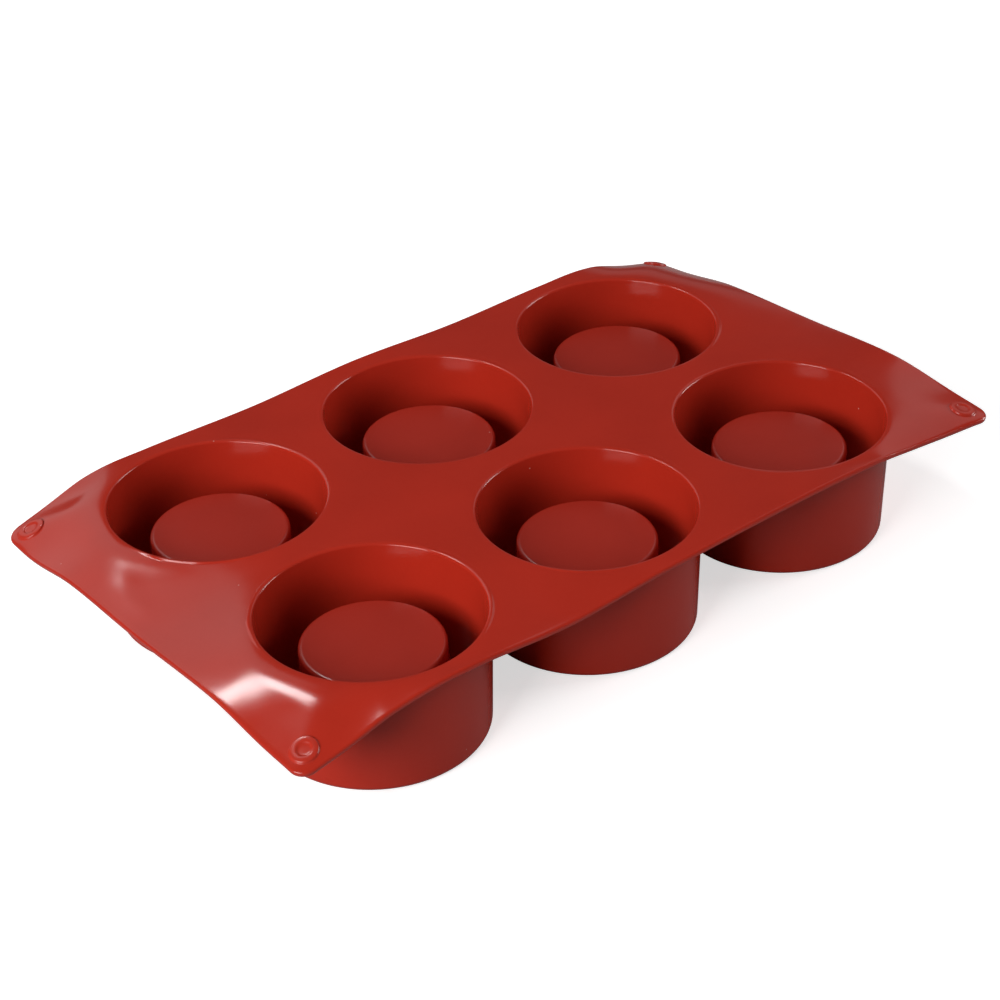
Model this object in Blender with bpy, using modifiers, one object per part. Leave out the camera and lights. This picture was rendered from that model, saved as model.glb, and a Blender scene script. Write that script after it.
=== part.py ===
"""Six-cavity flexible silicone baking mould: a 3 x 2 field of round, slightly tapered
cavities, each with a flat-topped hollow island in the middle, under one thin sheet
whose edges and corners droop.

The real object is one moulding of soft silicone rubber.  It is modelled here as its
functional regions, each a solid of its own: the sheet in three columns, six cavity
shells, six island side walls, six island caps and four corner eyelets.  The columns
fold against each other along the two webs between the cavities, and every island cap
can be pushed up from below, where its side wall stretches.

Frame: metres, +Z up, origin at the centre of the footprint on the surface the mould
stands on.  X runs along the three columns, Y along the two rows (front row at -Y).
"""

import bpy
import bmesh
import numpy as np
from math import pi, sin, cos, hypot, atan2
from mathutils import Matrix, Vector

MM = 0.001

# ---------------------------------------------------------------- driving dimensions
SHEET_LENGTH = 300.0 * MM       # along X
SHEET_WIDTH = 176.0 * MM        # along Y
SHEET_THICKNESS = 2.0 * MM
SHEET_CORNER_R = 5.5 * MM

PITCH_X = 90.0 * MM             # column to column
PITCH_Y = 87.0 * MM             # row to row

HEIGHT = 43.6 * MM              # standing surface to the top of the sheet
CUP_OUTER_R = 38.5 * MM         # under the sheet; the wall draws in to the foot
CUP_DRAFT = 1.2 * MM            # by this much over the cup's height
CUP_WALL = 1.3 * MM
CUP_BOTTOM_R = 2.4 * MM         # outer rounding at the foot
CUP_FLOOR_R = 2.0 * MM          # inner rounding at the floor
RIM_R = 0.9 * MM                # rounding of the mouth into the sheet
FLOOR = 2.0 * MM

ISLAND_TOP = 31.0 * MM          # standing surface to the island's flat top
ISLAND_R = 23.9 * MM            # at the top
ISLAND_FOOT_R = 24.5 * MM       # at the floor
ISLAND_WALL = 1.9 * MM
ISLAND_CAP = 2.0 * MM
ISLAND_EDGE_R = 1.4 * MM

EYELET_X = 142.8 * MM           # corner eyelets, from the centre
EYELET_Y = 80.6 * MM
EYELET_R = 4.6 * MM
EYELET_PIP_R = 2.3 * MM
EYELET_H = 0.7 * MM

GAP = 0.3 * MM                  # kept between neighbouring solids
EYELET_GAP = 0.6 * MM           # under an eyelet, where the sheet is curved
FOLD_X = PITCH_X / 2            # the two fold lines lie midway between columns
FOLD_GAP = 0.9 * MM             # each side of a fold line, so that a fold doesn't bind

# How the sheet hangs away from the plane of the mouths, in millimetres of fall at its
# edge: along the two short ends at the front row, between the rows and at the back
# row, and along the two long edges at the stations x = -90, -45, 0, 45 and 90 mm.
END_FALL = {-1: (4.3, 5.1, 5.9), 1: (-0.5, 1.8, 4.2)}
SIDE_FALL = {-1: (-0.7, 2.4, 0.1, -0.8, -0.5), 1: (0.2, 0.8, -0.9, 0.7, 0.0)}
# The four corners: the fall at the corner itself and a third of the way along the
# long edge from it to the cavity.
CORNER_FALL = {
    (-1, -1): (9.0, 1.8),
    (-1, 1): (10.9, 1.3),
    (1, -1): (3.9, 2.4),
    (1, 1): (9.7, 1.0),
}
BEND = {-1: 0.4, 1: 1.0}        # share of the way to the edge over which an end bends
                                # down; it runs on straight from there
# Direction, seen from the corner cavity, in which each corner hangs lowest: degrees
# from the X axis towards the Y axis.
CORNER_TURN = {(-1, -1): 36.0, (-1, 1): 32.0, (1, -1): 36.0, (1, 1): 36.0}
FLAT_R = 38.0 * MM              # the sheet stays flat this far from a cavity's centre
# A corner that hangs is drawn inwards and a taut one reaches out: the shift of each
# corner of the outline along X and along Y, in millimetres, positive inwards.
CORNER_PULL = {
    (-1, -1): (0.8, 0.3),
    (-1, 1): (1.5, 1.2),
    (1, -1): (-0.8, -1.0),
    (1, 1): (0.6, 1.3),
}

STEPS = 32                      # facets round each turned piece
SHEET_CELL = 8.3 * MM

COLUMNS = {"left": -1, "centre": 0, "right": 1}
ROWS = {"front": -1, "back": 1}


def along(stations, values, s):
    """Smooth curve through values at stations."""
    s = min(max(s, stations[0]), stations[-1])
    i = 0
    while i < len(stations) - 2 and s > stations[i + 1]:
        i += 1
    n = len(stations) - 1

    def slope(k):
        lo, hi = max(k - 1, 0), min(k + 1, n)
        return (values[hi] - values[lo]) / (stations[hi] - stations[lo])

    w = stations[i + 1] - stations[i]
    t = (s - stations[i]) / w
    return (
        (2 * t ** 3 - 3 * t ** 2 + 1) * values[i] + (t ** 3 - 2 * t ** 2 + t) * w * slope(i)
        + (3 * t ** 2 - 2 * t ** 3) * values[i + 1] + (t ** 3 - t ** 2) * w * slope(i + 1)
    )


def scallop(offset, pitch):
    """How far the flat field reaches outside a row of cavities, between two of them."""
    off = abs((offset + pitch / 2) % pitch - pitch / 2)
    return FLAT_R * max(cos(pi * off / pitch), 0.0) ** 1.5


def drop(t, end):
    """Share of the edge's fall at share t of the way from the cavity to the edge."""
    a = BEND[end]
    return t * t / (2 * a * (1 - a / 2)) if t < a else (t - a / 2) / (1 - a / 2)


def sheet_z(x, y):
    """Height of the sheet's top face at (x, y)."""
    ax, ay = abs(x), abs(y)
    sx, sy = (1 if x > 0 else -1), (1 if y > 0 else -1)
    row = PITCH_Y / 2
    end, side = END_FALL[sx], SIDE_FALL[sy]
    fall = 0.0
    if ax > PITCH_X and ay > row:
        out = max(hypot(ax - PITCH_X, ay - row) - FLAT_R, 0.0)
        turn = atan2(ay - row, ax - PITCH_X)
        across = (cos(turn) / (SHEET_LENGTH / 2 - PITCH_X)) ** 12
        up = (sin(turn) / (SHEET_WIDTH / 2 - row)) ** 12
        reach = (across + up) ** (-1 / 12) - FLAT_R
        corner, third = CORNER_FALL[sx, sy]
        stations = (-43.0, 0.0, CORNER_TURN[sx, sy], 60.0, 90.0, 135.0)
        values = (end[1], end[1 + sy], corner, third, side[2 + 2 * sx], side[2 + sx])
        fall = along(stations, values, turn * 180 / pi) * drop(out / reach, sx)
    elif ax > PITCH_X:
        flat = PITCH_X + scallop(y - row, PITCH_Y)
        t = max(ax - flat, 0.0) / (SHEET_LENGTH / 2 - flat)
        stations = (-SHEET_WIDTH / 2, -row, 0.0, row, SHEET_WIDTH / 2)
        values = (CORNER_FALL[sx, -1][0], *end, CORNER_FALL[sx, 1][0])
        fall = along(stations, values, y) * drop(t, sx)
    elif ay > row:
        flat = row + scallop(x, PITCH_X)
        t = max(ay - flat, 0.0) / (SHEET_WIDTH / 2 - flat)
        stations = tuple(PITCH_X * k for k in (-1.3, -1.0, -0.5, 0.0, 0.5, 1.0, 1.3))
        values = (CORNER_FALL[-1, sy][1], *side, CORNER_FALL[1, sy][1])
        fall = along(stations, values, x) * t * t
    return HEIGHT - fall * MM


def pulled(x, y):
    """Where the hanging corners draw the point (x, y) of the straight outline."""
    sx, sy = (1 if x > 0 else -1), (1 if y > 0 else -1)
    u = max(abs(x) - PITCH_X, 0.0) / (SHEET_LENGTH / 2 - PITCH_X)
    v = max(abs(y) - PITCH_Y / 2, 0.0) / (SHEET_WIDTH / 2 - PITCH_Y / 2)
    w = (u * v) ** 2 * MM
    px, py = CORNER_PULL[sx, sy]
    return x - sx * px * w, y - sy * py * w


# ---------------------------------------------------------------------- clean start
for old in list(bpy.data.objects):
    bpy.data.objects.remove(old, do_unlink=True)

scene = bpy.context.scene
mould = bpy.data.collections.new("baking_mould")
cutters = bpy.data.collections.new("cutters")
scene.collection.children.link(mould)
scene.collection.children.link(cutters)


def material(name, colour, roughness):
    m = bpy.data.materials.new(name)
    m.use_nodes = True
    b = m.node_tree.nodes["Principled BSDF"]
    b.inputs["Base Color"].default_value = (*colour, 1.0)
    b.inputs["Roughness"].default_value = roughness
    b.inputs["Metallic"].default_value = 0.0
    return m


SILICONE_SHEET = material("silicone_sheet", (0.36, 0.028, 0.014), 0.32)
SILICONE_CUP = material("silicone_cup", (0.33, 0.025, 0.013), 0.38)
SILICONE_WALL = material("silicone_island_wall", (0.30, 0.024, 0.013), 0.42)
SILICONE_CAP = material("silicone_island_cap", (0.34, 0.030, 0.018), 0.50)
SILICONE_EYELET = material("silicone_eyelet", (0.38, 0.032, 0.016), 0.32)


def link(name, mesh, mat, collection=None):
    o = bpy.data.objects.new(name, mesh)
    (collection or mould).objects.link(o)
    if mat is not None:
        mesh.materials.append(mat)
    return o


def arc(cx, cz, r, a0, a1, n):
    """n + 1 points of an arc in the (radius, height) plane, angles in degrees."""
    return [
        (cx + r * cos(a * pi / 180), cz + r * sin(a * pi / 180))
        for a in (a0 + (a1 - a0) * i / n for i in range(n + 1))
    ]


def turned(name, profile, mat, centre, steps=STEPS):
    """A ring turned from a closed profile that runs down its outer side."""
    bm = bmesh.new()
    vs = [bm.verts.new((r, 0.0, z)) for r, z in profile]
    for a, b in zip(vs, vs[1:] + vs[:1]):
        bm.edges.new((a, b))
    mesh = bpy.data.meshes.new(name)
    bm.to_mesh(mesh)
    bm.free()
    o = link(name, mesh, mat)
    o.location = centre
    s = o.modifiers.new("turn", "SCREW")
    s.axis = "Z"
    s.angle = 2 * pi
    s.steps = s.render_steps = steps
    s.use_merge_vertices = True
    s.merge_threshold = 0.00001
    s.use_smooth_shade = True
    return o


def disc(name, profile, mat, centre, steps=STEPS):
    """A solid of revolution from an open profile whose ends lie on the axis."""
    bm = bmesh.new()
    vs = [bm.verts.new((r, 0.0, z)) for r, z in profile]
    for a, b in zip(vs, vs[1:]):
        bm.edges.new((a, b))
    mesh = bpy.data.meshes.new(name)
    bm.to_mesh(mesh)
    bm.free()
    o = link(name, mesh, mat)
    o.location = centre
    s = o.modifiers.new("turn", "SCREW")
    s.axis = "Z"
    s.angle = 2 * pi
    s.steps = s.render_steps = steps
    s.use_merge_vertices = True
    s.merge_threshold = 0.00001
    s.use_smooth_shade = True
    return o


# ------------------------------------------------------------------------- cavities
CUP_R = CUP_OUTER_R - CUP_WALL
HOLLOW_R = ISLAND_FOOT_R - ISLAND_WALL


def cup_profile():
    foot = CUP_OUTER_R - CUP_DRAFT
    p = [(CUP_OUTER_R, HEIGHT)]
    p += arc(foot - CUP_BOTTOM_R, CUP_BOTTOM_R, CUP_BOTTOM_R, 0, -90, 3)
    p += [(HOLLOW_R, 0.0), (HOLLOW_R, FLOOR)]
    p += arc(foot - CUP_WALL - CUP_FLOOR_R, FLOOR + CUP_FLOOR_R, CUP_FLOOR_R, -90, 0, 2)
    p += arc(CUP_R + RIM_R, HEIGHT - RIM_R, RIM_R, 180, 90, 2)
    return p


def island_wall_profile():
    low, high = FLOOR + GAP, ISLAND_TOP - ISLAND_CAP - GAP
    return [
        (ISLAND_R, high),
        (ISLAND_FOOT_R, low),
        (ISLAND_FOOT_R - ISLAND_WALL, low),
        (ISLAND_R - ISLAND_WALL, high),
    ]


def island_cap_profile():
    p = [(0.0, ISLAND_TOP)]
    p += arc(ISLAND_R - ISLAND_EDGE_R, ISLAND_TOP - ISLAND_EDGE_R, ISLAND_EDGE_R, 90, 0, 2)
    p += [(ISLAND_R, ISLAND_TOP - ISLAND_CAP), (0.0, ISLAND_TOP - ISLAND_CAP)]
    return p


for col, i in COLUMNS.items():
    for row, j in ROWS.items():
        at = Vector((i * PITCH_X, j * PITCH_Y / 2, 0.0))
        turned(f"cup_{row}_{col}", cup_profile(), SILICONE_CUP, at)
        turned(f"island_wall_{row}_{col}", island_wall_profile(), SILICONE_WALL, at)
        # the cap's origin lies on the line along which it is pushed up
        disc(f"island_cap_{row}_{col}", island_cap_profile(), SILICONE_CAP, at)


# ---------------------------------------------------------------------------- sheet
def outline_cutter():
    """Upright prism with the sheet's rounded outline."""
    corners = []
    for k, (i, j) in enumerate(((1, 1), (-1, 1), (-1, -1), (1, -1))):
        cx, cy = i * (SHEET_LENGTH / 2 - SHEET_CORNER_R), j * (SHEET_WIDTH / 2 - SHEET_CORNER_R)
        corners.append(arc(cx, cy, SHEET_CORNER_R, 90 * k, 90 * k + 90, 5))
    outline = []
    for this, after in zip(corners, corners[1:] + corners[:1]):
        outline += this
        (x0, y0), (x1, y1) = this[-1], after[0]
        n = round(hypot(x1 - x0, y1 - y0) / (2 * SHEET_CELL))
        outline += [(x0 + (x1 - x0) * k / n, y0 + (y1 - y0) * k / n) for k in range(1, n)]
    bm = bmesh.new()
    rings = [
        [bm.verts.new((*pulled(x, y), HEIGHT + dz)) for x, y in outline]
        for dz in (-30 * MM, 30 * MM)
    ]
    low, high = rings
    bm.faces.new(list(reversed(low)))
    bm.faces.new(high)
    for k in range(len(outline)):
        m = (k + 1) % len(outline)
        bm.faces.new((low[k], low[m], high[m], high[k]))
    mesh = bpy.data.meshes.new("outline")
    bm.to_mesh(mesh)
    bm.free()
    o = link("outline_cutter", mesh, None, cutters)
    o.hide_render = True
    o.display_type = "WIRE"
    return o


def mouth_cutter(name, x, y):
    """Cylinder that clears a cavity's shell all round by the gap."""
    bm = bmesh.new()
    bmesh.ops.create_cone(
        bm, cap_ends=True, segments=STEPS, radius1=CUP_OUTER_R + GAP, radius2=CUP_OUTER_R + GAP,
        depth=0.06, matrix=Matrix.Translation((x, y, HEIGHT)),
    )
    mesh = bpy.data.meshes.new(name)
    bm.to_mesh(mesh)
    bm.free()
    o = link(name, mesh, None, cutters)
    o.hide_render = True
    o.display_type = "WIRE"
    return o


OUTLINE = outline_cutter()
MARGIN = 2.0 * MM               # the raw sheet reaches past the outline, which trims it


def sheet(name, x0, x1):
    nx = max(2, round((x1 - x0) / SHEET_CELL))
    ny = round((SHEET_WIDTH + 2 * MARGIN) / SHEET_CELL)
    bm = bmesh.new()
    bmesh.ops.create_grid(bm, x_segments=nx, y_segments=ny, size=0.5)
    for v in bm.verts:
        x = x0 + (x1 - x0) * (v.co.x + 0.5)
        y = (SHEET_WIDTH + 2 * MARGIN) * v.co.y
        v.co = (x, y, sheet_z(x, y))
    mesh = bpy.data.meshes.new(name)
    bm.to_mesh(mesh)
    bm.free()
    mesh.shade_smooth()
    o = link(name, mesh, SILICONE_SHEET)
    s = o.modifiers.new("thickness", "SOLIDIFY")
    s.thickness = SHEET_THICKNESS
    s.offset = -1.0
    trim = o.modifiers.new("outline", "BOOLEAN")
    trim.operation = "INTERSECT"
    trim.solver = "EXACT"
    trim.object = OUTLINE
    return o


def cut(o, cutter):
    b = o.modifiers.new("mouth", "BOOLEAN")
    b.operation = "DIFFERENCE"
    b.solver = "EXACT"
    b.object = cutter


SHEETS = {
    "left": sheet("sheet_left", -SHEET_LENGTH / 2 - MARGIN, -FOLD_X - FOLD_GAP),
    "centre": sheet("sheet_centre", -FOLD_X + FOLD_GAP, FOLD_X - FOLD_GAP),
    "right": sheet("sheet_right", FOLD_X + FOLD_GAP, SHEET_LENGTH / 2 + MARGIN),
}
for col, i in COLUMNS.items():
    for row, j in ROWS.items():
        cut(SHEETS[col], mouth_cutter(f"mouth_{row}_{col}", i * PITCH_X, j * PITCH_Y / 2))


# -------------------------------------------------------------------------- eyelets
def eyelet(name, x, y):
    """Raised ring with a blind pip in its middle, following the sheet under it."""
    profile = [
        (0.0, EYELET_H * 0.45),
        (EYELET_PIP_R, EYELET_H * 0.45),
        (EYELET_PIP_R + 0.3 * MM, EYELET_H),
        (EYELET_R - 0.5 * MM, EYELET_H),
        (EYELET_R, EYELET_H * 0.4),
        (EYELET_R, 0.0),
        (0.0, 0.0),
    ]
    o = disc(name, profile, SILICONE_EYELET, (0, 0, 0), steps=16)
    bpy.context.view_layer.update()
    turned_mesh = bpy.data.meshes.new_from_object(o.evaluated_get(bpy.context.evaluated_depsgraph_get()))
    o.modifiers.clear()
    o.data = turned_mesh
    for v in turned_mesh.vertices:
        v.co.z += sheet_z(x + v.co.x, y + v.co.y) - sheet_z(x, y) + EYELET_GAP
    o.location = (x, y, sheet_z(x, y))


for end, i in (("left", -1), ("right", 1)):
    for row, j in ROWS.items():
        eyelet(f"eyelet_{row}_{end}", *pulled(i * EYELET_X, j * EYELET_Y))
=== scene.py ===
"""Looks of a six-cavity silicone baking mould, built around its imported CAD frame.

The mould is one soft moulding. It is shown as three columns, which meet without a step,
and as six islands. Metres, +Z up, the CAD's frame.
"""

from math import atan2, cos, exp, hypot, pi, radians, sin

import bmesh
import bpy
import numpy as np
from mathutils import Matrix, Vector


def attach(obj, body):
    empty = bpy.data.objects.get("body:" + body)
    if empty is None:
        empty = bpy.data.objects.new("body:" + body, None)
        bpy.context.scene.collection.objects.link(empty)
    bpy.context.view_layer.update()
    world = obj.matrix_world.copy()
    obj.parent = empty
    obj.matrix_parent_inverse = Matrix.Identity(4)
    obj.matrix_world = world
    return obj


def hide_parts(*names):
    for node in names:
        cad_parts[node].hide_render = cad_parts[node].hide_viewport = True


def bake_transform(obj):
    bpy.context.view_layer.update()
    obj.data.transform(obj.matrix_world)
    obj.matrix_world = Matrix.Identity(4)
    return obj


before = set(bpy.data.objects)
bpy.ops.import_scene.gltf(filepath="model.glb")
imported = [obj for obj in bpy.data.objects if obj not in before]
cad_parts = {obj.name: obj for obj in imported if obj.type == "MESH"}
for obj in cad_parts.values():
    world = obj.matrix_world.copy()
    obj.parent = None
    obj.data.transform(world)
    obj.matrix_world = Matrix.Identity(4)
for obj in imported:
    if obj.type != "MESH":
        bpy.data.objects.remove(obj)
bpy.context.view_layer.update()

MM = 0.001

# ------------------------------------------------------------------ the CAD's sizes
SHEET_LENGTH = 300.0 * MM
SHEET_WIDTH = 176.0 * MM
SHEET_THICKNESS = 2.0 * MM
SHEET_CORNER_R = 5.5 * MM
PITCH_X = 90.0 * MM
PITCH_Y = 87.0 * MM
HEIGHT = 43.6 * MM
CUP_OUTER_R = 38.5 * MM
CUP_DRAFT = 1.2 * MM
CUP_WALL = 1.3 * MM
CUP_R = CUP_OUTER_R - CUP_WALL
CUP_BOTTOM_R = 2.4 * MM
CUP_FLOOR_R = 2.0 * MM
RIM_R = 0.9 * MM
FLOOR = 2.0 * MM
ISLAND_TOP = 31.0 * MM
ISLAND_R = 23.9 * MM
ISLAND_FOOT_R = 24.5 * MM
ISLAND_WALL = 1.9 * MM
ISLAND_CAP = 2.0 * MM
ISLAND_EDGE_R = 1.4 * MM
EYELET_X = 142.8 * MM
EYELET_Y = 80.6 * MM
EYELET_R = 4.6 * MM
EYELET_PIP_R = 2.3 * MM
EYELET_H = 0.7 * MM
FOLD_X = PITCH_X / 2

END_FALL = {-1: (4.3, 5.1, 5.9), 1: (-0.5, 1.8, 4.2)}
SIDE_FALL = {-1: (-0.7, 2.4, 0.1, -0.8, -0.5), 1: (0.2, 0.8, -0.9, 0.7, 0.0)}
CORNER_FALL = {
    (-1, -1): (9.0, 1.8),
    (-1, 1): (10.9, 1.3),
    (1, -1): (3.9, 2.4),
    (1, 1): (9.7, 1.0),
}
CORNER_PULL = {
    (-1, -1): (0.8, 0.3),
    (-1, 1): (1.5, 1.2),
    (1, -1): (-0.8, -1.0),
    (1, 1): (0.6, 1.3),
}
BEND = {-1: 0.4, 1: 1.0}
CORNER_TURN = {(-1, -1): 36.0, (-1, 1): 32.0, (1, -1): 36.0, (1, 1): 36.0}
FLAT_R = 38.0 * MM


def along(stations, values, s):
    """Smooth curve through values at stations."""
    s = min(max(s, stations[0]), stations[-1])
    i = 0
    while i < len(stations) - 2 and s > stations[i + 1]:
        i += 1
    n = len(stations) - 1

    def slope(k):
        lo, hi = max(k - 1, 0), min(k + 1, n)
        return (values[hi] - values[lo]) / (stations[hi] - stations[lo])

    w = stations[i + 1] - stations[i]
    t = (s - stations[i]) / w
    return (
        (2 * t ** 3 - 3 * t ** 2 + 1) * values[i] + (t ** 3 - 2 * t ** 2 + t) * w * slope(i)
        + (3 * t ** 2 - 2 * t ** 3) * values[i + 1] + (t ** 3 - t ** 2) * w * slope(i + 1)
    )


def scallop(offset, pitch):
    off = abs((offset + pitch / 2) % pitch - pitch / 2)
    return FLAT_R * max(cos(pi * off / pitch), 0.0) ** 1.5


def drop(t, end):
    """Share of the edge's fall at share t of the way from the cavity to the edge."""
    a = BEND[end]
    return t * t / (2 * a * (1 - a / 2)) if t < a else (t - a / 2) / (1 - a / 2)


def sheet_z(x, y):
    """Height of the sheet's top face at (x, y)."""
    ax, ay = abs(x), abs(y)
    sx, sy = (1 if x > 0 else -1), (1 if y > 0 else -1)
    row = PITCH_Y / 2
    end, side = END_FALL[sx], SIDE_FALL[sy]
    fall = 0.0
    if ax > PITCH_X and ay > row:
        out = max(hypot(ax - PITCH_X, ay - row) - FLAT_R, 0.0)
        turn = atan2(ay - row, ax - PITCH_X)
        across = (cos(turn) / (SHEET_LENGTH / 2 - PITCH_X)) ** 12
        up = (sin(turn) / (SHEET_WIDTH / 2 - row)) ** 12
        reach = (across + up) ** (-1 / 12) - FLAT_R
        corner, third = CORNER_FALL[sx, sy]
        stations = (-43.0, 0.0, CORNER_TURN[sx, sy], 60.0, 90.0, 135.0)
        values = (end[1], end[1 + sy], corner, third, side[2 + 2 * sx], side[2 + sx])
        fall = along(stations, values, turn * 180 / pi) * drop(out / reach, sx)
    elif ax > PITCH_X:
        flat = PITCH_X + scallop(y - row, PITCH_Y)
        t = max(ax - flat, 0.0) / (SHEET_LENGTH / 2 - flat)
        stations = (-SHEET_WIDTH / 2, -row, 0.0, row, SHEET_WIDTH / 2)
        values = (CORNER_FALL[sx, -1][0], *end, CORNER_FALL[sx, 1][0])
        fall = along(stations, values, y) * drop(t, sx)
    elif ay > row:
        flat = row + scallop(x, PITCH_X)
        t = max(ay - flat, 0.0) / (SHEET_WIDTH / 2 - flat)
        stations = tuple(PITCH_X * k for k in (-1.3, -1.0, -0.5, 0.0, 0.5, 1.0, 1.3))
        values = (CORNER_FALL[-1, sy][1], *side, CORNER_FALL[1, sy][1])
        fall = along(stations, values, x) * t * t
    return HEIGHT - fall * MM


def pulled(x, y):
    """Where the hanging corners draw the point (x, y) of the straight outline."""
    sx, sy = (1 if x > 0 else -1), (1 if y > 0 else -1)
    u = max(abs(x) - PITCH_X, 0.0) / (SHEET_LENGTH / 2 - PITCH_X)
    v = max(abs(y) - PITCH_Y / 2, 0.0) / (SHEET_WIDTH / 2 - PITCH_Y / 2)
    w = (u * v) ** 2 * MM
    px, py = CORNER_PULL[sx, sy]
    return x - sx * px * w, y - sy * py * w


# Slight unevenness of the free left end, finer than the CAD: where, how far it reaches
# along X and Y, and its height, all in millimetres.
SWELLS = (
    (-140.0, 31.0, 7.0, 13.0, 0.55),
    (-141.5, 13.0, 4.0, 9.0, 0.28),
)


def swell(x, y):
    """Height that the unevenness adds at (x, y)."""
    return sum(
        h * MM * exp(-(((x / MM - cx) / rx) ** 2) - ((y / MM - cy) / ry) ** 2)
        for cx, cy, rx, ry, h in SWELLS
    )


def top(x, y):
    """Point of the sheet's top face that belongs to (x, y) of the straight sheet."""
    x, y = pulled(x, y)
    return np.array((x, y, sheet_z(x, y) + swell(x, y)))


def normal(x, y, e=0.4 * MM):
    """Upward normal of the sheet there."""
    n = np.cross(top(x + e, y) - top(x - e, y), top(x, y + e) - top(x, y - e))
    return n / np.linalg.norm(n)


# -------------------------------------------------------------------- mesh building
class Shell:
    """Vertices and faces of one closed piece, joined ring by ring."""

    def __init__(self):
        self.points, self.faces = [], []

    def ring(self, points):
        start = len(self.points)
        self.points += [tuple(p) for p in points]
        return list(range(start, len(self.points)))

    def band(self, a, b, closed=True, flip=False):
        n = len(a)
        for k in range(n if closed else n - 1):
            m = (k + 1) % n
            quad = (a[k], a[m], b[m], b[k])
            self.faces.append(quad[::-1] if flip else quad)

    def polygon(self, loop, flip=False):
        self.faces.append(tuple(reversed(loop)) if flip else tuple(loop))

    def build(self, name, sharp=50):
        mesh = bpy.data.meshes.new(name)
        mesh.from_pydata(self.points, [], self.faces)
        bm = bmesh.new()
        bm.from_mesh(mesh)
        bmesh.ops.remove_doubles(bm, verts=bm.verts, dist=2e-6)
        bmesh.ops.recalc_face_normals(bm, faces=bm.faces)
        bm.to_mesh(mesh)
        bm.free()
        mesh.shade_smooth()
        mesh.set_sharp_from_angle(angle=radians(sharp))
        o = bpy.data.objects.new(name, mesh)
        bpy.context.scene.collection.objects.link(o)
        return o


def arc(cr, cz, r, a0, a1, n):
    """n + 1 points of an arc in the (radius, height) plane, angles in degrees."""
    return [
        (cr + r * cos(radians(a0 + (a1 - a0) * i / n)), cz + r * sin(radians(a0 + (a1 - a0) * i / n)))
        for i in range(n + 1)
    ]


# The mouth rolls in gently from the sheet and then turns down: radius outside the
# cavity's wall and height over the sheet.
ROLL_R, TURN_R, ROLL = 4.0 * MM, 0.75 * MM, 15.0
ROLL_OUT = TURN_R + (ROLL_R - TURN_R) * sin(radians(ROLL))
ROLL_IN = [
    (r, z) for r, z in arc(ROLL_OUT, -ROLL_R, ROLL_R, 90, 90 + ROLL, 4)
] + [
    (r, z) for r, z in arc(
        TURN_R, -ROLL_R + (ROLL_R - TURN_R) * cos(radians(ROLL)), TURN_R, 90 + ROLL, 180, 7
    )[1:]
]

RAYS = 208
SEAM_X = 39.6 * MM              # where the middle column hands over to an end column
EDGE_R = 0.8 * MM               # rounding of the sheet's edge, above
EDGE_UNDER_R = 0.5 * MM         # and below
UNDER_R = 1.0 * MM              # rounding between the sheet's underside and a cup
FLOOR_SEAM_R = 26.0 * MM        # where a cup's floor hands over to its island
SUPPORT = 0.35 * MM             # a narrow row beside each rounding keeps the flats flat


def spread(p, q, n, last=False):
    """n points from p to q, evenly, without q unless last."""
    p, q = np.array(p), np.array(q)
    return [tuple(p + (q - p) * i / n) for i in range(n + 1 if last else n)]


def cell(end_column):
    """Outline of one front-row cell of the straight sheet, anticlockwise from its corner
    on the front edge nearest +X: the points, their outward directions where they lie on
    the sheet's edge (None on a seam), and the angle of the first one round the cavity."""
    y0 = -SHEET_WIDTH / 2 + EDGE_R
    if end_column:
        x0, x1 = -SHEET_LENGTH / 2 + EDGE_R, -SEAM_X
        r = SHEET_CORNER_R - EDGE_R
        points = spread((x1, y0), (x1, 0.0), 48)
        points += spread((x1, 0.0), (x0, 0.0), 54)
        outward = [None] * 102
        points += spread((x0, 0.0), (x0, y0 + r), 42)
        outward += [(-1.0, 0.0)] * 42
        for i in range(12):
            a = pi + pi / 2 * i / 12
            points.append((x0 + r + r * cos(a), y0 + r + r * sin(a)))
            outward.append((cos(a), sin(a)))
        points += spread((x0 + r, y0), (x1, y0), 52)
        outward += [(0.0, -1.0)] * 52
        outward[0] = (0.0, -1.0)
        centre = (-PITCH_X, -PITCH_Y / 2)
    else:
        x0, x1 = -SEAM_X, SEAM_X
        points = spread((x1, y0), (x1, 0.0), 48)
        points += spread((x1, 0.0), (x0, 0.0), 56)
        points += spread((x0, 0.0), (x0, y0), 48)
        outward = [None] * 152
        points += spread((x0, y0), (x1, y0), 56)
        outward += [(0.0, -1.0)] * 56
        outward[0] = (0.0, -1.0)
        centre = (0.0, -PITCH_Y / 2)
    first = atan2(y0 - centre[1], points[0][0] - centre[0])
    return points, outward, centre, first


EDGE_STEPS = (
    [(EDGE_R * sin(radians(a)), EDGE_R * (1 - cos(radians(a)))) for a in (18, 36, 54, 72, 90)]
    + [(EDGE_R, SHEET_THICKNESS - EDGE_UNDER_R)]
    + [
        (EDGE_R - EDGE_UNDER_R + EDGE_UNDER_R * cos(radians(a)),
         SHEET_THICKNESS - EDGE_UNDER_R + EDGE_UNDER_R * sin(radians(a)))
        for a in (30, 60, 90)
    ]
)
UNDER_OUT = EDGE_STEPS[-1][0]


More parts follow.
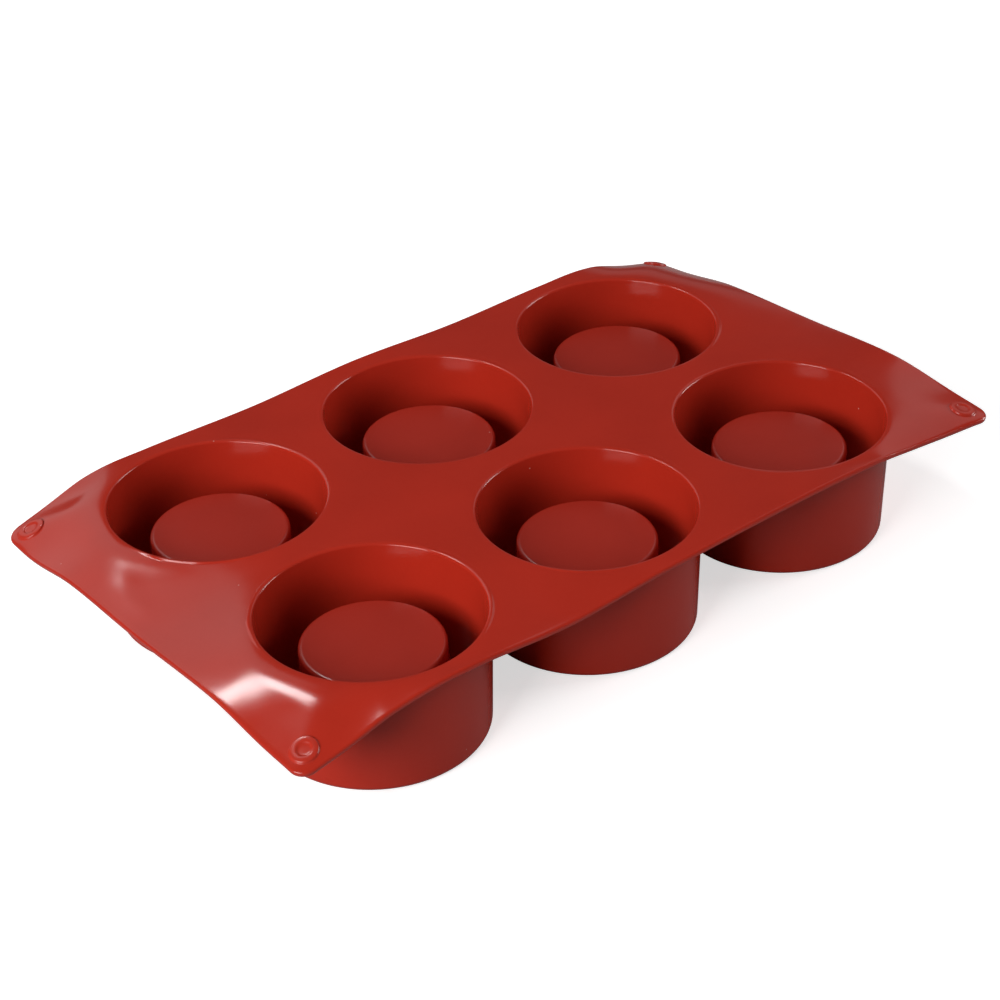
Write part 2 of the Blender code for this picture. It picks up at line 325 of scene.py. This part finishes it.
def column_cell(shell, end_column, flip_x, row, centre_x):
    """Adds one cavity of a column with the sheet round it."""
    mirror = np.array((-1.0 if flip_x else 1.0, -float(row)))
    points, outward, centre, first = cell(end_column)
    turn_round = flip_x != (row > 0)

    def put(p):
        return top(p[0] * mirror[0], p[1] * mirror[1])

    def up(p):
        return normal(p[0] * mirror[0], p[1] * mirror[1])

    circle = [first + 2 * pi * k / RAYS for k in range(RAYS)]
    rays = [np.array((cos(a), sin(a))) for a in circle]
    mid = np.array(centre)
    edge = [np.array(p) for p in points]

    def level(radius, z):
        return shell.ring(
            [(*((mid + radius * d) * mirror), z) for d in rays]
        )

    def join(a, b):
        shell.band(a, b, flip=turn_round)

    # the top, from the edge or seam in to the rounded mouth
    rim = CUP_R + ROLL_IN[0][0]
    rows = []
    steps = 18
    for i in range(steps + 1):
        t = 1 - (1 - (i / steps)) ** 1.25
        rows.append([e + (mid + rim * d - e) * t for e, d in zip(edge, rays)])
    rings = [shell.ring([put(p) for p in r]) for r in rows]
    outer_top = rings[0]
    # the inside of the cup, down to the seam round the island
    for r, z in ROLL_IN[1:]:
        rings.append(level(CUP_R + r, HEIGHT + z))
    def drawn_in(z, low, high):
        return CUP_DRAFT * (high - z) / (high - low)

    low, high = FLOOR + CUP_FLOOR_R, HEIGHT + ROLL_IN[-1][1]
    for i in range(7):
        z = (high - SUPPORT) + (low - high + 2 * SUPPORT) * i / 6
        rings.append(level(CUP_R - drawn_in(z, low, high), z))
    bottom = CUP_R - CUP_DRAFT
    for r, z in arc(bottom - CUP_FLOOR_R, low, CUP_FLOOR_R, 0, -90, 7):
        rings.append(level(r, z))
    rings.append(level(bottom - CUP_FLOOR_R - SUPPORT, FLOOR))
    rings.append(level((bottom - CUP_FLOOR_R + FLOOR_SEAM_R) / 2, FLOOR))
    rings.append(level(FLOOR_SEAM_R, FLOOR))
    # round the seam and back out along the underside
    rings.append(level(FLOOR_SEAM_R, 0.0))
    foot = CUP_OUTER_R - CUP_DRAFT
    rings.append(level(foot - CUP_BOTTOM_R - SUPPORT, 0.0))
    for r, z in arc(foot - CUP_BOTTOM_R, CUP_BOTTOM_R, CUP_BOTTOM_R, -90, 0, 9):
        rings.append(level(r, z))
    under = HEIGHT - SHEET_THICKNESS
    low, high = CUP_BOTTOM_R, under - UNDER_R
    for i in range(7):
        z = (low + SUPPORT) + (high - low - 2 * SUPPORT) * i / 6
        rings.append(level(CUP_OUTER_R - drawn_in(z, low, high), z))
    for r, z in arc(CUP_OUTER_R + UNDER_R, under - UNDER_R, UNDER_R, 180, 90, 6)[:-1]:
        rings.append(level(r, z))
    below = [
        e + np.array(o) * UNDER_OUT if o is not None else e for e, o in zip(edge, outward)
    ]
    # the corner where the edge meets a seam keeps to the seam
    foot = CUP_OUTER_R + UNDER_R
    steps = 12
    for i in range(steps + 1):
        t = (i / steps) ** 1.15
        pts = [(mid + foot * d) + (e - mid - foot * d) * t for e, d in zip(below, rays)]
        rings.append(shell.ring([put(p) - up(p) * SHEET_THICKNESS for p in pts]))
    outer_under = rings[-1]
    for a, b in zip(rings, rings[1:]):
        join(a, b)

    # the rounded edge of the sheet, along the run of outline points that have one
    run = [k for k in range(RAYS) if outward[k] is not None and k > 0]
    before = run[0] - 0
    # an end column's run starts on the line between the rows
    run = run + [0]
    strips = [[outer_top[k] for k in run]]
    for s, d in EDGE_STEPS[:-1]:
        ring = []
        for k in run:
            p = edge[k] + np.array(outward[k]) * s
            ring.append(put(p) - up(p) * d)
        strips.append(shell.ring(ring))
    strips.append([outer_under[k] for k in run])
    for a, b in zip(strips, strips[1:]):
        shell.band(a, b, closed=False, flip=not turn_round)
    ends = [[s[0] for s in strips], [s[-1] for s in strips]]

    # the seams across which this column meets its neighbours
    seams = [list(range(0, 49))]
    if not end_column:
        seams.append(list(range(104, 153)))
    for seam in seams:
        shell.band(
            [outer_top[k] for k in seam], [outer_under[k] for k in seam],
            closed=False, flip=not turn_round,
        )
    shell.polygon(ends[1])
    if not end_column:
        shell.polygon(ends[0])
    return before


def column(name, end_column, flip_x):
    shell = Shell()
    for row in (-1, 1):
        column_cell(shell, end_column, flip_x, row, 0.0)
    return shell.build(name)


def turned(name, centre, profile, steps=RAYS):
    """A closed ring-by-ring solid of revolution from a profile whose ends lie on the axis."""
    shell = Shell()
    rings = []
    for r, z in profile:
        if r < 1e-7:
            rings.append(shell.ring([(centre[0], centre[1], z)]))
        else:
            rings.append(shell.ring([
                (centre[0] + r * cos(2 * pi * k / steps), centre[1] + r * sin(2 * pi * k / steps), z)
                for k in range(steps)
            ]))
    for a, b in zip(rings, rings[1:]):
        if len(a) == 1:
            for k in range(steps):
                shell.faces.append((a[0], b[(k + 1) % steps], b[k]))
        elif len(b) == 1:
            for k in range(steps):
                shell.faces.append((b[0], a[k], a[(k + 1) % steps]))
        else:
            shell.band(a, b)
    return shell.build(name)


def island(name, centre):
    """The island, hollow underneath, from the floor seam up to its flat top."""
    foot = 1.0 * MM
    taper = (ISLAND_R - ISLAND_FOOT_R) / (ISLAND_TOP - FLOOR)

    def outer(z):
        return ISLAND_FOOT_R + taper * (z - FLOOR)

    p = [(0.0, ISLAND_TOP)]
    p += [(ISLAND_R * k, ISLAND_TOP) for k in (0.15, 0.35, 0.55, 0.75)]
    p += [(ISLAND_R - ISLAND_EDGE_R - SUPPORT, ISLAND_TOP)]
    p += arc(ISLAND_R - ISLAND_EDGE_R, ISLAND_TOP - ISLAND_EDGE_R, ISLAND_EDGE_R, 90, 0, 7)
    high, low = ISLAND_TOP - ISLAND_EDGE_R - SUPPORT, FLOOR + foot + SUPPORT
    p += [(outer(high + (low - high) * k / 9), high + (low - high) * k / 9) for k in range(10)]
    p += arc(ISLAND_FOOT_R + foot, FLOOR + foot, foot, 180, 270, 5)
    p += [(FLOOR_SEAM_R, FLOOR), (FLOOR_SEAM_R, 0.0)]
    inner = 1.2 * MM
    hollow = ISLAND_FOOT_R - ISLAND_WALL
    p += [(hollow + inner + SUPPORT, 0.0)]
    p += arc(hollow + inner, inner, inner, 270, 180, 5)
    roof = ISLAND_TOP - ISLAND_CAP
    high, low = roof - inner - SUPPORT, inner + SUPPORT
    p += [(outer(low + (high - low) * k / 9) - ISLAND_WALL, low + (high - low) * k / 9) for k in range(10)]
    top_r = outer(roof) - ISLAND_WALL
    p += arc(top_r - inner, roof - inner, inner, 0, 90, 5)
    p += [(top_r * k, roof) for k in (0.85, 0.6, 0.35, 0.15)] + [(0.0, roof)]
    return turned(name, centre, p, steps=160)


def eyelet(name, x, y):
    """Raised ring with a blind recess, rolled into the sheet under it."""
    x, y = pulled(x, y)
    h, r = EYELET_H, EYELET_R
    profile = [(0.0, 0.30 * h), (0.5 * EYELET_PIP_R, 0.31 * h), (0.78 * EYELET_PIP_R, 0.36 * h)]
    profile += [(EYELET_PIP_R * 0.92, 0.50 * h), (EYELET_PIP_R * 1.02, 0.74 * h), (EYELET_PIP_R * 1.12, 0.92 * h)]
    profile += [(EYELET_PIP_R + 0.55 * MM, h), (r - 1.2 * MM, h * 1.02)]
    profile += arc(r - 0.62 * MM, h - 0.55 * MM, 0.55 * MM, 80, 0, 6)
    profile += [(r - 0.02 * MM, 0.12 * h), (r + 0.28 * MM, -0.02 * MM), (r + 0.3 * MM, -0.45 * MM)]
    profile += [(r * 0.6, -0.5 * MM), (0.0, -0.5 * MM)]
    o = turned(name, (0.0, 0.0), profile, steps=72)
    for v in o.data.vertices:
        v.co.x, v.co.y, v.co.z = x + v.co.x, y + v.co.y, v.co.z + sheet_z(x + v.co.x, y + v.co.y)
    return o


# ------------------------------------------------------------------------- material
def silicone(name, colour, rough, rough_spread, bump_mm, specks=True):
    """Pigmented silicone rubber: faint mottling, moulded micro texture, stray dust."""
    m = bpy.data.materials.new(name)
    m.use_nodes = True
    nt = m.node_tree
    shader = nt.nodes["Principled BSDF"]
    coord = nt.nodes.new("ShaderNodeTexCoord").outputs["Object"]

    def noise(scale_mm, detail=2.0, rough=0.5):
        n = nt.nodes.new("ShaderNodeTexNoise")
        n.inputs["Scale"].default_value = 1.0 / (scale_mm * MM)
        n.inputs["Detail"].default_value = detail
        n.inputs["Roughness"].default_value = rough
        nt.links.new(coord, n.inputs["Vector"])
        return n.outputs["Fac"]

    def span(value, lo, hi, a, b):
        n = nt.nodes.new("ShaderNodeMapRange")
        n.inputs["From Min"].default_value, n.inputs["From Max"].default_value = lo, hi
        n.inputs["To Min"].default_value, n.inputs["To Max"].default_value = a, b
        nt.links.new(value, n.inputs["Value"])
        return n.outputs["Result"]

    def blend_colour(fac, a, b):
        n = nt.nodes.new("ShaderNodeMix")
        n.data_type = "RGBA"
        nt.links.new(fac, n.inputs["Factor"])
        for socket, value in (("A", a), ("B", b)):
            s = [i for i in n.inputs if i.name == socket and i.type == "RGBA"][0]
            if isinstance(value, tuple):
                s.default_value = (*value, 1.0)
            else:
                nt.links.new(value, s)
        return [o for o in n.outputs if o.type == "RGBA"][0]

    c = np.array(colour)
    base = blend_colour(span(noise(38.0, 3.0), 0.35, 0.65, 0.0, 1.0), tuple(c * 0.955), tuple(c * 1.045))
    fine = blend_colour(span(noise(1.3, 2.0), 0.3, 0.7, 0.0, 0.10), base, tuple(c * np.array((1.12, 1.5, 1.5))))
    if specks:
        v = nt.nodes.new("ShaderNodeTexVoronoi")
        v.inputs["Scale"].default_value = 1.0 / (17.0 * MM)
        nt.links.new(coord, v.inputs["Vector"])
        dust = span(v.outputs["Distance"], 0.010, 0.019, 0.75, 0.0)
        fine = blend_colour(dust, fine, (0.62, 0.36, 0.31))
    nt.links.new(fine, shader.inputs["Base Color"])
    r = span(noise(21.0, 4.0, 0.6), 0.3, 0.7, rough - rough_spread, rough + rough_spread)
    nt.links.new(r, shader.inputs["Roughness"])
    shader.inputs["IOR"].default_value = 1.43
    shader.inputs["Metallic"].default_value = 0.0
    shader.inputs["Subsurface Weight"].default_value = 0.0

    peel = nt.nodes.new("ShaderNodeBump")
    peel.inputs["Strength"].default_value = 1.0
    peel.inputs["Distance"].default_value = bump_mm * MM
    nt.links.new(noise(0.9, 3.0, 0.6), peel.inputs["Height"])
    wave = nt.nodes.new("ShaderNodeBump")
    wave.inputs["Strength"].default_value = 1.0
    wave.inputs["Distance"].default_value = 0.08 * MM
    nt.links.new(noise(16.0, 1.0), wave.inputs["Height"])
    nt.links.new(wave.outputs["Normal"], peel.inputs["Normal"])
    nt.links.new(peel.outputs["Normal"], shader.inputs["Normal"])
    return m


RED = (0.455, 0.0245, 0.0115)
SHEET = silicone("silicone_moulding", RED, 0.15, 0.03, 0.003)
# The islands are the same silicone as the sheet; their darker red is painted shade, not a colour of their own.
ISLAND_PAINTED_SHADE = silicone("silicone_island_painted_shade", (0.425, 0.0265, 0.0145), 0.24, 0.03, 0.004)
# The eyelets are the same silicone too; their lighter, more orange red is painted light, not a colour of their
# own.
EYELET_PAINTED_LIGHT = silicone("silicone_eyelet", (0.47, 0.028, 0.0145), 0.24, 0.03, 0.004, specks=False)

# --------------------------------------------------------------------------- pieces
ROWS = {"front": -1, "back": 1}
COLUMNS = {"left": -1, "centre": 0, "right": 1}
BODY = {"left": "left_column", "centre": "middle_column", "right": "right_column"}

for col, i in COLUMNS.items():
    body = BODY[col]
    o = column(f"moulding_{col}", i != 0, i > 0)
    o.data.materials.append(SHEET)
    if i:
        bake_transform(o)
    else:
        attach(o, body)
    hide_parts(f"sheet_{col}", *(f"cup_{row}_{col}" for row in ROWS))
    for row, j in ROWS.items():
        o = island(f"island_{row}_{col}", (i * PITCH_X, j * PITCH_Y / 2))
        o.data.materials.append(ISLAND_PAINTED_SHADE)
        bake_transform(o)
        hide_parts(f"island_wall_{row}_{col}", f"island_cap_{row}_{col}")
        if i:
            o = eyelet(f"ring_{row}_{col}", i * EYELET_X, j * EYELET_Y)
            o.data.materials.append(EYELET_PAINTED_LIGHT)
            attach(o, body)
            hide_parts(f"eyelet_{row}_{col}")


# ---------------------------------------------------------------------------- stage
def floor(name, z, albedo, glow):
    """Large plain floor."""
    mesh = bpy.data.meshes.new(name)
    mesh.from_pydata([(-5, -5, z), (5, -5, z), (5, 5, z), (-5, 5, z)], [], [(0, 1, 2, 3)])
    o = bpy.data.objects.new(name, mesh)
    bpy.context.scene.collection.objects.link(o)
    m = bpy.data.materials.new(name)
    m.use_nodes = True
    b = m.node_tree.nodes["Principled BSDF"]
    b.inputs["Base Color"].default_value = (albedo, albedo, albedo, 1.0)
    b.inputs["Roughness"].default_value = 0.9
    b.inputs["Specular IOR Level"].default_value = 0.0
    b.inputs["Emission Color"].default_value = (1.0, 1.0, 1.0, 1.0)
    b.inputs["Emission Strength"].default_value = glow
    mesh.materials.append(m)
    return o


# The floor that is seen is white. The one that lights and mirrors in the mould is a
# duller sweep just under it, as a studio table is beside its lit backdrop.
seen = floor("floor_white", -0.0002, 0.80, 0.62)
seen.visible_diffuse = seen.visible_glossy = seen.visible_shadow = False
sweep = floor("floor_sweep", -0.0004, 0.40, 0.0)
sweep.visible_camera = False


def toward(azimuth, elevation):
    """Unit direction, azimuth from +Y towards +X, in degrees."""
    a, e = radians(azimuth), radians(elevation)
    return Vector((sin(a) * cos(e), cos(a) * cos(e), sin(e)))


def softbox(name, azimuth, elevation, wide, tall, radiance, distance=1.6, spin=0.0):
    """Area light of even radiance that spans the angles wide and tall, in degrees."""
    d = toward(azimuth, elevation)
    light = bpy.data.lights.new(name, "AREA")
    light.shape = "RECTANGLE"
    light.size = 2 * distance * sin(radians(wide / 2))
    light.size_y = 2 * distance * sin(radians(tall / 2))
    light.energy = radiance * light.size * light.size_y * pi
    o = bpy.data.objects.new(name, light)
    bpy.context.scene.collection.objects.link(o)
    o.location = Vector((0.0, 0.0, 0.04)) + d * distance
    turn = (-d).to_track_quat("-Z", "Y").to_matrix().to_4x4()
    o.rotation_euler = (turn @ Matrix.Rotation(radians(spin), 4, "Z")).to_euler()
    return o


world = bpy.data.worlds.new("studio")
bpy.context.scene.world = world
world.use_nodes = True
world.node_tree.nodes["Background"].inputs["Color"].default_value = (1.0, 1.0, 1.0, 1.0)
# Weak fill light; the backdrop behind the floor looks pale all the same.
rays = world.node_tree.nodes.new("ShaderNodeLightPath")
strength = world.node_tree.nodes.new("ShaderNodeMath")
strength.operation = "MULTIPLY_ADD"
strength.inputs[1].default_value = 0.83
strength.inputs[2].default_value = 0.07
world.node_tree.links.new(rays.outputs["Is Camera Ray"], strength.inputs[0])
world.node_tree.links.new(
    strength.outputs[0], world.node_tree.nodes["Background"].inputs["Strength"]
)

softbox("key_left", -104.0, 25.0, 32.0, 30.0, 9.9, distance=1.25)
softbox("back_core", -3.0, 56.0, 9.0, 9.0, 24.0)
softbox("back_broad", -1.0, 33.0, 34.0, 40.0, 0.85, distance=1.8)
softbox("back_right", 70.0, 36.0, 26.0, 26.0, 0.55)
softbox("side_right", 112.0, 15.0, 24.0, 24.0, 8.5, distance=1.4)
softbox("back_low", 46.0, 12.0, 18.0, 12.0, 0.15)

bpy.context.scene.view_settings.view_transform = "Standard"

# --------------------------------------------------------------------------- camera
az, el, roll = radians(-38.08), radians(32.68), radians(-2.02)
back = Vector((sin(az) * cos(el), -cos(az) * cos(el), sin(el)))
right = (-back).cross(Vector((0, 0, 1))).normalized()
up = right.cross(-back)
across = cos(roll) * right + sin(roll) * up
upward = -sin(roll) * right + cos(roll) * up
camera = bpy.data.cameras.new("camera")
camera.lens, camera.sensor_width = 89.22, 36.0
camera.clip_start, camera.clip_end = 0.05, 50.0
holder = bpy.data.objects.new("camera", camera)
bpy.context.scene.collection.objects.link(holder)
place = Vector((-0.01928, -0.02127, 0.0436)) + back * 0.8311
holder.matrix_world = Matrix((
    (across.x, upward.x, back.x, place.x),
    (across.y, upward.y, back.y, place.y),
    (across.z, upward.z, back.z, place.z),
    (0.0, 0.0, 0.0, 1.0),
))
bpy.context.scene.camera = holder
